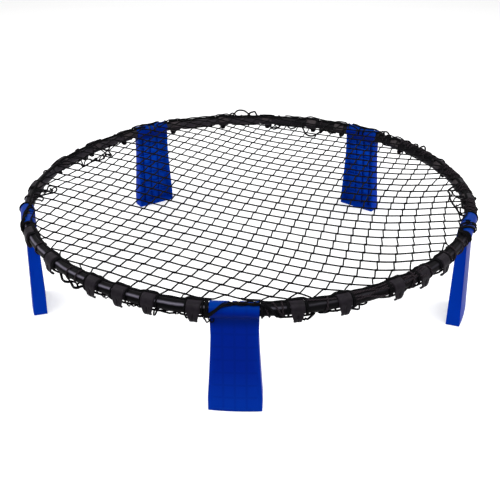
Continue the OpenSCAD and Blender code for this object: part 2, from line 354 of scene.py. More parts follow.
def mouldedNylon():
    # Injection-moulded black nylon with a fine spark-eroded grain that greys it where light grazes, and a
    # painted highlight on its inner top
    size = hookCoatSizes
    material, tree, shader = newMaterial("moulded_black_nylon")
    spot = addNode(tree, "TexCoord").outputs["Object"]
    wear = addNode(tree, "TexNoise", {"Vector": spot, "Scale": 1 / size["wear"], "Detail": 5})
    base = addNode(tree, "ValToRGB", (wear,), size["tones"])
    around = aroundTube(tree, addNode(tree, "SeparateXYZ", (spot,)))
    # painted highlight: the band's inner top is painted paler
    highlightBand = addNode(tree, "MapRange", (around, *map(radians, size["highlightBand"])),
                     interpolation_type="SMOOTHSTEP")
    coat = addNode(tree, "Mix", {"Factor": highlightBand, "A": base, "B": size["highlightTone"]}, data_type="RGBA")
    grit = addNode(tree, "TexNoise", {"Vector": spot, "Scale": 1 / size["grain"], "Detail": 2})
    bump = addNode(tree, "Bump", {"Height": grit, "Strength": 0.35, "Distance": size["grainHeight"]})
    feed(tree, shader, {"IOR": 1.53, "Specular IOR Level": 0.06, "Roughness": 0.5,
                        "Base Color": coat, "Normal": bump})
    return material


# Places on the leg's plastic are in millimetres up from the floor or across from its middle
legCoatSizes = {
    "tones": ((0, "#001b7c"), (1, "#002c94")),   # painted shade over the face's middle, and painted light towards its edges and foot
    "litEdge": (30, 41),
    "edgeShare": 0.35,
    "litFoot": (90, 5),
    "cloud": 35 * mm,
    "cloudShare": 0.1,
    "shadowAt": 182,           # height of the soft shadow under the barrel
    "shadow": (3, 22),         # its full and its faded width, up and down
    "shadowShare": 0.6,
    "shadowTone": "#00124a",
    # painted shade on the barrel's top, a darker blue against the light that falls there
    "barrel": (196, 208),
    "barrelShadeTone": "#002a78",
    # painted light on the side walls' outer sides
    "sideLightTone": "#002f9c",
    # painted light in the hollow, a brighter blue higher up
    "hollow": (5, 120),
    "hollowLitTones": ((0, "#00349e"), (1, "#003fb2")),
    "mark": (0.8, 3.2),        # half the width of a mark over a rib, full and faded
    "marksTop": 178,
    "marksEdge": (36, 39),     # the marks fade before the corner
    "markShare": 0.2,
    "markTone": "#00155c",
    "markHeight": 0.12 * mm,
    "markFelt": 0.08,          # how much of a rib's height is left outside
    "grain": 0.9 * mm,
    "grainHeight": 0.1 * mm,
}


def ribMarks(tree, across, up):
    # 1 along the middle of every rib, 0 between them
    size = legCoatSizes
    floorTop, thickness, pitch, waist = (legSizes[key] / mm for key in (
        "floorTop", "ribThickness", "ribPitch", "waistWidth"))
    lines = []
    for value, gap, start, limit in ((up, pitch, floorTop + thickness / 2, size["marksTop"]),
                                     (across, waist / 4, 0, 1.5 * waist / 4)):
        line = addNode(tree, "Math", (value, start - gap / 2), operation="SUBTRACT")
        line = addNode(tree, "Math", (line, gap), operation="FLOORED_MODULO")
        line = addNode(tree, "Math", (line, gap / 2), operation="SUBTRACT")
        line = addNode(tree, "Math", (line,), operation="ABSOLUTE")
        line = addNode(tree, "MapRange", (line, *size["mark"], 1, 0), interpolation_type="SMOOTHSTEP")
        inside = addNode(tree, "Math", (value,), operation="ABSOLUTE")
        inside = addNode(tree, "Math", (inside, limit), operation="LESS_THAN")
        lines.append(addNode(tree, "Math", (line, inside), operation="MULTIPLY"))
    return addNode(tree, "Math", lines, operation="MAXIMUM")


def legPlastic():
    # Blue polypropylene moulding: glossy enough for soft highlights, with faint sink marks
    # on its face where the ribs stand behind it. UV is millimetres across and up the leg.
    size = legCoatSizes
    material, tree, shader = newMaterial("blue_polypropylene")
    coords = addNode(tree, "TexCoord")
    spot = coords.outputs["Object"]
    split = addNode(tree, "SeparateXYZ", (coords.outputs["UV"],))
    across, up = split.outputs["X"], split.outputs["Y"]
    beside = addNode(tree, "Math", (across,), operation="ABSOLUTE")
    hollow, litSideWall = (addNode(tree, "Attribute", attribute_name=name).outputs["Fac"]
                        for name in ("hollow", "litSideWall"))
    # painted shade and light: the face is painted darker over its middle than towards its edges and its
    # foot
    edge = addNode(tree, "MapRange", (beside, *size["litEdge"], 0, size["edgeShare"]))
    foot = addNode(tree, "MapRange", (up, *size["litFoot"]))
    solid = addNode(tree, "Math", (edge, foot), operation="MAXIMUM")
    cloud = addNode(tree, "TexNoise", {"Vector": spot, "Scale": 1 / size["cloud"], "Detail": 3})
    drift = addNode(tree, "MapRange", (cloud, 0, 1, -size["cloudShare"], size["cloudShare"]))
    solid = addNode(tree, "Math", (solid, drift), operation="ADD")
    coat = addNode(tree, "ValToRGB", (solid,), size["tones"])
    # under the barrel the face is in its own soft shadow
    shade = addNode(tree, "Math", (up, size["shadowAt"]), operation="SUBTRACT")
    shade = addNode(tree, "Math", (shade,), operation="ABSOLUTE")
    shade = addNode(tree, "MapRange", (shade, *size["shadow"], size["shadowShare"], 0),
                    interpolation_type="SMOOTHSTEP")
    # painted shade: the barrel's top is painted a darker, duller blue
    barrel = addNode(tree, "MapRange", (up, *size["barrel"]))
    # painted light: the hollow is painted a brighter blue, most of all high up
    high = addNode(tree, "MapRange", (up, *size["hollow"]))
    inner = addNode(tree, "ValToRGB", (high,), size["hollowLitTones"])
    # outside, the ribs show as faint lines that can hardly be felt
    marks = ribMarks(tree, across, up)
    seen = addNode(tree, "MapRange", (beside, *size["marksEdge"], size["markShare"], 0))
    seen = addNode(tree, "Math", (marks, seen), operation="MULTIPLY")
    # painted shade under the barrel and on its top, painted light on the side walls' outer sides and in the
    # hollow, then the rib marks
    for factor, tone in ((shade, size["shadowTone"]), (barrel, size["barrelShadeTone"]),
                         (litSideWall, size["sideLightTone"]), (hollow, inner), (seen, size["markTone"])):
        coat = addNode(tree, "Mix", {"Factor": factor, "A": coat, "B": tone}, data_type="RGBA")
    felt = addNode(tree, "MapRange", (hollow, 0, 1, size["markFelt"], 1))
    felt = addNode(tree, "Math", (marks, felt), operation="MULTIPLY")
    grain = addNode(tree, "TexNoise", {"Vector": spot, "Scale": 1 / size["grain"], "Detail": 1})
    bump = addNode(tree, "Bump", {"Height": grain, "Strength": 0.08, "Distance": size["grainHeight"]})
    bump = addNode(tree, "Bump", {"Height": felt, "Strength": 0.5, "Distance": size["markHeight"],
                                  "Normal": bump}, invert=True)
    feed(tree, shader, {"IOR": 1.49, "Specular IOR Level": 0.03, "Specular Tint": "#8fb4f0",
                        "Roughness": 0.38, "Base Color": coat, "Normal": bump})
    return material


# Each twine's twist, its plies, and its tones between the plies and on them, which paint shade between the
# plies. The strands wound round the tube are painted paler, a painted highlight on their coils.
twineLooks = {
    "net_twine": (5 * mm, 3, "#030304", "#0b0b0d"),
    "glint_net_twine": (6 * mm, 3, "#070608", "#2e282c"),
    "edge_braid": (6 * mm, 4, "#060607", "#121114"),
}
plyHeight = 0.3 * mm


def blackTwine(name):
    # Twisted polyester twine: matt, with a slanting ply that repeats once a twist along the strand, and
    # painted shade between the plies
    twist, plies, low, high = twineLooks[name]
    material, tree, shader = newMaterial(name)
    split = addNode(tree, "SeparateXYZ", (addNode(tree, "TexCoord").outputs["UV"],))
    along = addNode(tree, "Math", (split.outputs["X"], 2 * pi / twist), operation="MULTIPLY")
    turn = addNode(tree, "Math", (split.outputs["Y"], 2 * pi * plies, along), operation="MULTIPLY_ADD")
    ply = addNode(tree, "Math", (turn,), operation="SINE")
    height = addNode(tree, "MapRange", (ply, -1, 1))
    # painted shade: darker between the plies, paler on their tops
    tone = addNode(tree, "ValToRGB", (height,), ((0, low), (1, high)))
    bump = addNode(tree, "Bump", {"Height": height, "Strength": 0.6, "Distance": plyHeight})
    feed(tree, shader, {"IOR": 1.5, "Specular IOR Level": 0.03, "Roughness": 0.7,
                        "Base Color": tone, "Normal": bump})
    return material


# Rim: five curved tubes, each plugged into the next inside a leg's barrel
rimSizes = {
    "sides": 40,
    "steps": 54,
    "spigotSteps": 4,
    "step": 2 * mm,            # from the tube's outside to the spigot's
    "spigotLength": 32 * mm,
    "buttGap": 0.5 * mm,
    "sharpAngle": 40,
}


def ringTurn(angle):
    return Matrix.Rotation(radians(angle), 4, "Z")


def rimTube(k, material):
    size = rimSizes
    bm = bmesh.new()

    def spun(faces, turn, steps):
        made = bmesh.ops.spin(bm, geom=faces, cent=(0, 0, 0), axis=(0, 0, 1), dvec=(0, 0, 0),
                              angle=radians(turn), steps=steps)
        return [f for f in made["geom_last"] if isinstance(f, bmesh.types.BMFace)]

    bmesh.ops.create_circle(bm, cap_ends=True, segments=size["sides"], radius=tubeRadius)
    stand = Matrix.Translation((ringRadius, 0, ringHeight)) @ Matrix.Rotation(radians(-90), 4, "X")
    bmesh.ops.transform(bm, matrix=ringTurn(legAngles[k]) @ stand, verts=bm.verts)
    cap = spun(bm.faces[:], bayAngle - turnOf(size["buttGap"]), size["steps"])
    bmesh.ops.inset_region(bm, faces=cap, thickness=size["step"])
    spun(cap, turnOf(size["spigotLength"]), size["spigotSteps"])
    # the cap that the spigot grew from would stay behind inside it
    bmesh.ops.delete(bm, geom=[f for f in bm.faces if len(f.verts) > 4 and all(
        len(e.link_faces) > 2 for e in f.edges)], context="FACES")
    bmesh.ops.recalc_face_normals(bm, faces=bm.faces)
    name = f"rim_tube_{k + 1}"
    mesh = meshFrom(name, bm, size["sharpAngle"])
    place(name + "_finish", mesh, material, "ring", "rim_tube", name)


# Leg: a barrel that turns on the tube, and a ribbed moulded shell under it
legSizes = {
    "topWidth": 81 * mm,
    "waistWidth": 79 * mm,
    "footWidth": 92.5 * mm,
    "waistHeight": 150 * mm,
    "straightFoot": 28 * mm,
    "flare": 1.3,
    "backDepth": 11.7 * mm,
    "topDepth": 8.3 * mm,
    "footDepth": 17.3 * mm,
    "wall": 2.4 * mm,
    "corner": 1.5 * mm,
    "rimEase": 0.35 * mm,
    "floorTop": 3 * mm,
    "ribHeight": 6 * mm,
    "ribThickness": 1.8 * mm,
    "ribPitch": 25 * mm,
    "ribFoot": 2 * mm,         # the upright ribs start in the sole and end in the yoke
    "ribEnd": 1 * mm,
    "backSink": 0.15 * mm,     # the ribs and the yoke end just inside the open back
    "fillet": 12 * mm,
    "filletSink": 0.03 * mm,
    "columns": 16,
    "rows": 34,
    "rowGrowth": 1.6,          # the rows stand closer together towards the barrel
    "yokeLow": 15.6 * mm,
    "tuck": 6 * mm,
    "barrelSides": 72,
    "barrelRings": (2 * mm, 10.5 * mm, 22.5 * mm),   # in from its end
    "window": 17 * mm,
    "finger": 7 * mm,
    "windowFrom": 72,
    "windowTo": 197,
    "fingerFrom": 110,
    "barrelEase": 0.7 * mm,
    "hollowFrom": 0.6,         # depths at which the hollow's and the side walls' blue start,
    "sideTo": 0.4,             # in walls, and how far round the corner the latter fades
    "sideFade": (0.5 * mm, 1.5 * mm),
    "sharpAngle": 35,
}


def halfWidth(height):
    # half the leg's width at a height above the floor
    size = legSizes
    waist, foot = size["waistWidth"] / 2, size["footWidth"] / 2
    if height <= size["straightFoot"]:
        return foot
    if height >= size["waistHeight"]:
        share = (height - size["waistHeight"]) / (ringHeight - size["waistHeight"])
        return mix(waist, size["topWidth"] / 2, share)
    share = (size["waistHeight"] - height) / (size["waistHeight"] - size["straightFoot"])
    return mix(waist, foot, share ** size["flare"])


def faceDepth(across, z):
    # the outer face leans out to the foot, bows with the ring and curves out into the barrel
    size = legSizes
    depth = mix(size["topDepth"], size["footDepth"], -z / ringHeight)
    turn = size["fillet"]
    away = depth + turn
    low = sqrt(max(0, (barrelRadius + turn) ** 2 - away * away))
    if z > -low * barrelRadius / (barrelRadius + turn):
        depth = sqrt(max(0, (barrelRadius - size["filletSink"]) ** 2 - z * z))
    elif z > -low:
        depth = away - sqrt(turn * turn - (z + low) ** 2)
    radius = hingeRadius + depth
    return sqrt(radius * radius - across * across) - hingeRadius


def settleOnFace(verts):
    # turns X, first a depth behind the outer face, into a place, no further than the open back
    for v in verts:
        v.co.x = max(faceDepth(v.co.y, v.co.z) - v.co.x, -legSizes["backDepth"])


def legShell():
    size = legSizes
    top = -size["tuck"]
    bm = gridOf(size["columns"], size["rows"])
    for v in bm.verts:
        height = (1 - ((1 - v.co.y) / 2) ** size["rowGrowth"]) * (ringHeight + top)
        v.co = Vector((0, v.co.x * halfWidth(height), height - ringHeight))
    settleOnFace(bm.verts)
    side = [e for e in bm.edges if len(e.link_faces) == 1 and any(v.co.z < top - tiny for v in e.verts)]
    for v in bmesh.ops.extrude_edge_only(bm, edges=side)["geom"]:
        if isinstance(v, bmesh.types.BMVert):
            v.co.x = -size["backDepth"]
    bmesh.ops.recalc_face_normals(bm, faces=bm.faces)
    if sum(f.normal.x for f in bm.faces) < 0:
        bmesh.ops.reverse_faces(bm, faces=bm.faces)
    roundEdges(bm, sharpEdges(bm, least=50), size["corner"], segments=4)
    bmesh.ops.solidify(bm, geom=bm.faces[:], thickness=size["wall"])
    back = 0.1 * mm - size["backDepth"]
    rim = [e for e in sharpEdges(bm) if all(v.co.x < back for v in e.verts)]
    roundEdges(bm, rim, size["rimEase"], segments=2)
    return meshFrom("leg_shell", bm)


def legRibs():
    size = legSizes
    deep = size["wall"] + size["ribHeight"]
    throughBack = 100 * mm
    rooted = size["wall"] / 2
    yoke = -size["yokeLow"]
    bm = bmesh.new()

    def plate(low, high, cuts=12):
        # a plate between two corners, cut along its longest side so that it can bow
        made = bmesh.ops.create_cube(bm, size=1)["verts"]
        for v in made:
            v.co = Vector(mix(a, b, c + 0.5) for a, b, c in zip(low, high, v.co))
        longest = max(range(3), key=lambda n: high[n] - low[n])
        edges = {e for v in made for e in v.link_edges
                 if abs((e.verts[0].co - e.verts[1].co)[longest]) > tiny}
        bmesh.ops.subdivide_edges(bm, edges=list(edges), cuts=cuts, use_grid_fill=True)

    half = size["ribThickness"] / 2
    for across in (-size["waistWidth"] / 4, 0, size["waistWidth"] / 4):
        plate((rooted, across - half, size["ribFoot"] - ringHeight),
              (deep, across + half, yoke + size["ribEnd"]), cuts=10)
    height = size["floorTop"] + size["ribPitch"]
    while height < ringHeight + yoke - size["ribPitch"] / 2:
        wide = halfWidth(height) - rooted
        z = height - ringHeight
        plate((rooted, -wide, z), (deep, wide, z + size["ribThickness"]))
        height += size["ribPitch"]
    # the yoke is solid from the hollow's top up into the barrel
    wide = size["topWidth"] / 2 - rooted
    plate((rooted, -wide, yoke), (throughBack, wide, -size["tuck"]))
    settleOnFace(bm.verts)
    for v in bm.verts:
        v.co.x = max(v.co.x, size["backSink"] - size["backDepth"])
    bmesh.ops.recalc_face_normals(bm, faces=bm.faces)
    return meshFrom("leg_ribs", bm)


def legBarrel():
    size = legSizes
    half, window, finger = (size[key] / 2 for key in ("topWidth", "window", "finger"))
    stations = [half, *(half - ring for ring in size["barrelRings"]), window, finger]
    stations = [-across for across in stations] + stations[::-1]
    rows = len(stations) - 1
    bm = gridOf(size["barrelSides"], rows)
    gone = []
    for f in bm.faces:
        middle = f.calc_center_median()
        around = (middle.x + 1) * 180
        row = int((middle.y + 1) / 2 * rows)
        across = abs(stations[row] + stations[row + 1]) / 2
        onFinger = across < finger and around > size["fingerFrom"]
        if across < window and size["windowFrom"] < around < size["windowTo"] and not onFinger:
            gone.append(f)
    bmesh.ops.delete(bm, geom=gone, context="FACES")
    for v in bm.verts:
        around = radians((v.co.x + 1) * 180)
        across = stations[round((v.co.y + 1) / 2 * rows)]
        v.co = Vector((barrelRadius * cos(around), across, barrelRadius * sin(around)))
    bmesh.ops.remove_doubles(bm, verts=bm.verts, dist=tiny)
    thicken(bm, size["wall"], size["barrelEase"], segments=3)
    return meshFrom("leg_barrel", bm)


def insetOf(spot):
    # how far a place on the leg lies behind its face, and in from its side
    return faceDepth(spot.y, spot.z) - spot.x, halfWidth(spot.z + ringHeight) - abs(spot.y)


def inHollow(spot):
    # 1 on the walls' inner sides and the ribs, 0 outside and on the barrel
    size = legSizes
    return float(min(insetOf(spot)) > size["hollowFrom"] * size["wall"]
                 and spot.z < size["ribEnd"] - size["yokeLow"])


def onSideWall(spot):
    # 1 on the side walls' outer sides, which are painted a lighter blue as painted light, fading out round
    # the corner to the face
    size = legSizes
    behind, beside = insetOf(spot)
    outside = beside < size["sideTo"] * size["wall"] and spot.z < -size["yokeLow"]
    start, fade = size["sideFade"]
    return outside * min(1.0, max(0.0, (behind - start) / fade))


def makeLegs(material):
    parts = [legShell(), legRibs(), legBarrel()]
    for k, angle in enumerate(legAngles):
        mesh = joinMeshes(f"leg_{k + 1}", parts, legSizes["sharpAngle"])
        uv = mesh.uv_layers.new(name="faceMillimetres")
        for loop in mesh.loops:
            spot = mesh.vertices[loop.vertex_index].co
            uv.data[loop.index].uv = (spot.y / mm, (spot.z + ringHeight) / mm)
        # the hollow and the side walls' outer sides are marked for their painted light
        for name, share in (("hollow", inHollow), ("litSideWall", onSideWall)):
            layer = mesh.attributes.new(name, "FLOAT", "POINT")
            for n, vert in enumerate(mesh.vertices):
                layer.data[n].value = share(vert.co)
        mesh.transform(ringTurn(angle) @ Matrix.Translation((hingeRadius, 0, ringHeight)))
        place(f"leg_{k + 1}_moulding", mesh, material, f"leg_{k + 1}", "leg", f"leg_{k + 1}")


# Hook: a band snapped on the tube and a tapered tongue that curls under it
hookSizes = {
    "width": 24 * mm,
    "bandRadius": 10.8 * mm,
    "bandWall": 2.4 * mm,
    "bandFrom": -15,
    "bandTo": 235,
    "padRadius": 14.2 * mm,
    "padFrom": 62,
    "curlRadius": 12.4 * mm,
    "curlTo": -75,
    "drop": 25 * mm,
    "tipWidth": 14 * mm,
    "shoulderWidth": 22 * mm,
    "tongueWall": 2.6 * mm,
    "tipRound": 5.5 * mm,
    "taperFrom": -2 * mm,
    "taperTo": -17.5 * mm,
    "bandSteps": (30, 4),      # round the tube, and along the rim
    "tongueSteps": (30, 22),   # down the tongue, and across it
    "grooveWidth": 2.0 * mm,
    "grooveDepth": 1.8 * mm,
    "grooveFrom": -1 * mm,
    "grooveTo": -8 * mm,
    "grooveRun": 10 * mm,      # it runs out before the tip
    "ease": 0.5 * mm,
    "tongueEase": 0.3 * mm,
    "sharpAngle": 40,
}


def tongueLengths():
    # the three stretches of the tongue's outer line: on the band, straight, and in the curl
    size = hookSizes
    return (radians(size["padFrom"]) * size["padRadius"], size["drop"] - size["curlRadius"],
            radians(-size["curlTo"]) * size["curlRadius"])


def tonguePoint(run):
    # a point of that line at a run from its top, in the hook's section, and its outward direction
    size = hookSizes
    pad, curl = size["padRadius"], size["curlRadius"]
    onBand, straight, _ = tongueLengths()
    if run < onBand:
        angle = radians(size["padFrom"]) - run / pad
        out = Vector((cos(angle), 0, sin(angle)))
        return out * pad, out
    if run < onBand + straight:
        return Vector((pad, 0, onBand - run)), Vector((1, 0, 0))
    angle = (onBand + straight - run) / curl
    out = Vector((cos(angle), 0, sin(angle)))
    return Vector((pad - curl, 0, -straight)) + out * curl, out


def hookBand():
    size = hookSizes
    bm = gridOf(*size["bandSteps"])
    for v in bm.verts:
        around = radians(mix(size["bandFrom"], size["bandTo"], (v.co.x + 1) / 2))
        v.co = Vector((bandOuter * cos(around), v.co.y * size["width"] / 2, bandOuter * sin(around)))
    thicken(bm, size["bandWall"], size["ease"], segments=3)
    return meshFrom("hook_band", bm)


def tongueHalf(z):
    # half the tongue's width at a height: a taper and then a round tip
    size = hookSizes
    share = min(max((size["taperFrom"] - z) / (size["taperFrom"] - size["taperTo"]), 0), 1)
    half = mix(size["shoulderWidth"], size["tipWidth"], share) / 2
    turn = size["tipRound"]
    low = max(0, turn - size["drop"] - z)
    return half - turn + sqrt(turn * turn - low * low)


def hookTongue():
    size = hookSizes
    length = sum(tongueLengths())
    bm = gridOf(*size["tongueSteps"])
    for v in bm.verts:
        run = (v.co.x + 1) / 2 * length
        spot, out = tonguePoint(run)
        # the columns stand closer together at the groove
        across = v.co.y * sqrt(abs(v.co.y)) * tongueHalf(spot.z)
        low = ease((size["grooveFrom"] - spot.z) / (size["grooveFrom"] - size["grooveTo"]))
        low *= ease((length - run) / size["grooveRun"])
        groove = max(0, 1 - (across / size["grooveWidth"]) ** 2)
        v.co = spot - out * size["grooveDepth"] * groove * low + Vector((0, across, 0))
    thicken(bm, size["tongueWall"], size["tongueEase"], segments=2)
    return meshFrom("hook_tongue", bm)


def makeHooks(nodes, material):
    parts = [hookBand(), hookTongue()]
    for node in nodes:
        mesh = joinMeshes(node, parts, hookSizes["sharpAngle"])
        mesh.transform(ringTurn(hookAngle(node)) @ Matrix.Translation((ringRadius, 0, ringHeight)))
        place(node + "_moulding", mesh, material, "ring", "hook", node)


# What stands on the rim, for the net and the cord to lie on: each hook's band and each leg's
# barrel, with its angle, half its length and its outer radius
hookNodes = sorted(n for n in frame["nodes"] if n.startswith("hook_"))
bandOuter = hookSizes["bandRadius"] + hookSizes["bandWall"]
posts = [{"angle": hookAngle(n), "half": hookSizes["width"] / 2, "outer": bandOuter, "isLeg": False}
         for n in hookNodes]
posts += [{"angle": a, "half": legSizes["topWidth"] / 2, "outer": barrelRadius, "isLeg": True}
          for a in legAngles]
posts.sort(key=lambda post: turnBetween(post["angle"], firstLeg) % 360)


def postRun(post, angle):
    # run along the rim from a post's middle to an angle
    return runOf(turnBetween(angle, post["angle"]))


def freeRun(angle):
    # run from an angle to the nearest end of a hook or a leg, negative where one stands
    return min(abs(postRun(post, angle)) - post["half"] for post in posts)


# how far beside the end of a hook or a barrel a strand that lies on it is still above the tube
hookRamp = 1.4 * mm
legRamp = 7 * mm


def coverAt(angle, ramp, legsOnly=False):
    # centre line and outer radius of whatever covers the tube at an angle
    centre, outer = ringRadius, tubeRadius
    for post in posts:
        off = postRun(post, angle)
        slope = max(ramp, legRamp) if post["isLeg"] else ramp
        share = ease((post["half"] + slope - abs(off)) / slope)
        if share > 0 and (post["isLeg"] or not legsOnly):
            outer = mix(outer, post["outer"], share)
            if post["isLeg"]:
                centre = mix(centre, hingeRadius / cos(off / ringRadius), share)
    return centre, outer


def ringPoint(angle, out, up):
    # a place from an angle, a distance from the ring's middle and a height
    return Vector((out * cos(radians(angle)), out * sin(radians(angle)), up))


def tubePoint(angle, centre, around, away):
    # a place from an angle, how far out the centre line is there, and degrees and distance round it
    turn = radians(around)
    return ringPoint(angle, centre + away * cos(turn), ringHeight + away * sin(turn))


def rimPoint(angle, around, lift, ramp=hookRamp):
    # a place by degrees along the rim, degrees round the tube and a lift over what covers it
    centre, outer = coverAt(angle, ramp)
    return tubePoint(angle, centre, around, outer + lift)


# Net: two families of strands knotted where they cross
netSizes = {
    "strand": 2.9 * mm,
    "knotLength": 9.0 * mm,
    "knotWidth": 4.9 * mm,
    "knotHeight": 3.8 * mm,
    "offset": 1.6 * mm,
    "step": 7.5 * mm,
    "reach": 18,
    "edge": 11 * mm,
    "jitter": 0.4 * mm,
    "seed": 7,
}

# Knots that set how the net is pulled over the ring, each given as: how many knots it is
# from the middle one along the long strands and along the cross strands, and where the camera
# sees it, in pixels across and down its frame
guideKnots = (
    (0, 0, 256.5, 192.1), (6, 0, 335.2, 204.6), (12, 0, 417.3, 209.2), (14, 0, 445.5, 207.7),
    (-6, 0, 182.7, 175.4), (-10, 0, 138.8, 163.7), (0, 5, 282.5, 165.2), (0, 10, 308.8, 142.5),
    (0, -5, 230.4, 221.8), (0, -10, 201.1, 252.8), (0, -15, 154.6, 285.5), (4, 5, 331.9, 172.5),
    (8, 5, 382.3, 178.5), (12, 4, 430.4, 185.4), (12, 5, 438.5, 178.5), (11, 7, 428.8, 169.6),
    (9, 8, 406.9, 164.2), (9, 9, 409.6, 159.6), (-5, 10, 252.2, 132.5), (-5, 11, 256.9, 128.8),
    (-8, 8, 213.1, 132.3), (-8, 9, 218.5, 128.5), (-14, -3, 77.2, 170.3), (-12, -6, 68.5, 189.2),
    (-13, -6, 56.8, 186.5), (-10, -5, 102.7, 190.4), (-10, -10, 60.4, 217.7), (-11, -10, 48.5, 213.8),
    (-5, -14, 89.2, 257.9), (-5, -15, 80.4, 263.8), (5, -6, 300.4, 243.1), (5, -12, 265.8, 286.2),
    (5, -14, 242.3, 298.8), (9, -9, 355.4, 276.4), (9, -11, 342.7, 291.9), (10, -10, 370, 286.5),
    (11, -6, 396.5, 254.1), (12, -8, 410, 269.6), (13, -4, 429.2, 236.5), (13, -7, 429.6, 259.6),
)


def plateTerms(key):
    # a thin plate's bend about each guide knot, then its lift and its two slopes
    terms = []
    for guide in guideKnots:
        apart = hypot(key[0] - guide[0], key[1] - guide[1])
        terms.append(apart * apart * log(apart) if apart else 0)
    return terms + [1, *key]


def netLattice(rng):
    # every knot's place, from the smoothest sheet that passes through the guide knots
    size = netSizes
    reach = size["reach"]
    rows = [plateTerms(guide[:2]) for guide in guideKnots]
    rows += [[*flat, 0, 0, 0] for flat in zip(*(row[-3:] for row in rows))]
    pulled = [tuple(placeSeen(*guide[2:], netHeight).xy) for guide in guideKnots] + [(0, 0)] * 3
    weights = numpy.linalg.solve(rows, pulled)
    lattice = {}
    for i in range(-reach, reach + 1):
        for j in range(-reach, reach + 1):
            x, y = numpy.dot(plateTerms((i, j)), weights)
            slip = [rng.gauss(0, size["jitter"]) for _ in range(2)]
            lattice[i, j] = Vector((x + slip[0], y + slip[1], netHeight))
    return lattice


def knotsInside(lattice):
    # the knots within the ring that hang together with the middle one
    limit = ringRadius - netSizes["edge"]
    inside, fresh = set(), [(0, 0)]
    while fresh:
        key = fresh.pop()
        if key not in inside and key in lattice and lattice[key].xy.length < limit:
            inside.add(key)
            i, j = key
            fresh += [(i + 1, j), (i - 1, j), (i, j + 1), (i, j - 1)]
    return inside


def rimCrossing(inner, outer):
    # angle at which the line between two places crosses the tube's centre line
    low, high = 0, 1
    halvings = 20
    for _ in range(halvings):
        middle = (low + high) / 2
        inside = inner.lerp(outer, middle).xy.length < ringRadius
        low, high = (middle, high) if inside else (low, middle)
    spot = inner.lerp(outer, low)
    return degrees(atan2(spot.y, spot.x))


def knotDirection(lattice, key):
    i, j = key
    return (lattice[i + 1, j] - lattice[i - 1, j]).normalized()


# The net's edge: the strands' ends run together along the tube's inner top to the side of
# the next hook or leg, go over the tube there and end at the edge cord
endSizes = {
    "lane": 2.0 * mm,          # spacing of the ends beside a hook
    "laneTurn": 2.4,           # from one lane to the next in their twist, in radians
    "nearSide": 1.6 * mm,
    "legCost": 12 * mm,        # how much farther than a hook a leg beside an end counts
    "bundleAround": 121,       # place of the gathered ends, degrees round the tube
    "legAround": 113,          # the same on a leg's barrel
    "bundleLift": 1.5 * mm,
    "bundleSpread": 0.6 * mm,
    "bundleTwist": 46 * mm,
    "bundleRamp": 2 * mm,      # how far beside a hook they are still above the tube
    "tightOnLeg": 0.8,         # share of their spread that they lose on a barrel
    "step": 8 * mm,
    "pull": 0.3,
    "clearTurn": 9,            # where an end meets the tube: degrees beyond its bundle,
    "clearRamp": 18 * mm,      # how far beside a barrel it still clears its flank,
    "clearLift": 0.6 * mm,     # and its lift
    "stop": 0.97,              # share of the way along the rim at which the bundle ends
    "down": (84, 62, 40, 18, -4, -26),
    "hugSlack": 0.8,           # unevenness of the lift, the lane and the way down, in mm
    "laneSlack": 1.2,
    "downSlack": 0.6,
}

borderSizes = {
    "strands": 2,
    "strand": 2.4 * mm,
    "around": 112,
    "radius": 0.9 * mm,
    "twist": 64 * mm,
    "rings": 80,
    "ramp": 5 * mm,
    "wave": 1.5,               # how far it wanders, degrees round the tube
    "waves": 11,               # how often in a whole turn of the ring
    "cores": (103, 116),       # strands straight on the tube under them, degrees round it
}


def gatherEnds(ends):
    # each end goes to the nearest side of a post, and the farthest has the outermost lane
    groups = {}
    for end in ends:
        best = None
        for n, post in enumerate(posts):
            off = postRun(post, end["angle"])
            for side in (-1, 1):
                gap = side * off - post["half"]
                cost = abs(gap) + (endSizes["legCost"] if post["isLeg"] and gap > 0 else 0)
                if best is None or cost < best[0]:
                    best = (cost, n, side, gap)
        groups.setdefault((best[1], best[2]), []).append((best[3], end))
    for (n, side), members in sorted(groups.items()):
        members.sort(key=lambda member: -member[0])
        for lane, (_, end) in enumerate(members):
            end.update(post=posts[n], side=side, lane=lane, lanes=len(members))


def bundleTurn(angle, lane):
    # where one of the gathered ends lies in their twist: degrees round the tube, and a lift
    size = endSizes
    outer = coverAt(angle, size["bundleRamp"])[1]
    turn = 2 * pi * runOf(angle) / size["bundleTwist"] + size["laneTurn"] * lane
    onLeg = ease((outer - bandOuter) / (barrelRadius - bandOuter))
    away = size["bundleSpread"] * sqrt(lane) * (1 - size["tightOnLeg"] * onLeg)
    around = mix(size["bundleAround"], size["legAround"], onLeg) + degrees(away * cos(turn) / outer)
    return around, max(netSizes["strand"] / 2, size["bundleLift"] + away * sin(turn))


def endRoute(end, rng):
    size = endSizes
    post, side = end["post"], end["side"]
    hug = netSizes["strand"] / 2 + rng.uniform(0, size["hugSlack"]) * mm
    out = size["nearSide"] + size["lane"] * (end["lanes"] - 1 - end["lane"])
    out += rng.uniform(0, size["laneSlack"]) * mm
    down = post["angle"] + side * turnOf(post["half"] + out)
    touch = end["angle"] + turnBetween(down, end["angle"]) * size["pull"]
    around, lift = bundleTurn(touch, end["lane"])
    rows = [(touch, around + size["clearTurn"], lift + size["clearLift"], size["clearRamp"])]
    left = turnBetween(down, touch) * size["stop"]
    steps = max(1, round(abs(runOf(left)) / size["step"]))
    for n in range(1, steps + 1):
        angle = touch + left * n / steps
        rows.append((angle, *bundleTurn(angle, end["lane"])))
    slack = size["downSlack"]
    rows += [(down + turnOf(rng.uniform(-slack, slack) * mm), around, hug) for around in size["down"]]
    return [rimPoint(*row) for row in rows] + [cordPoint(down)]


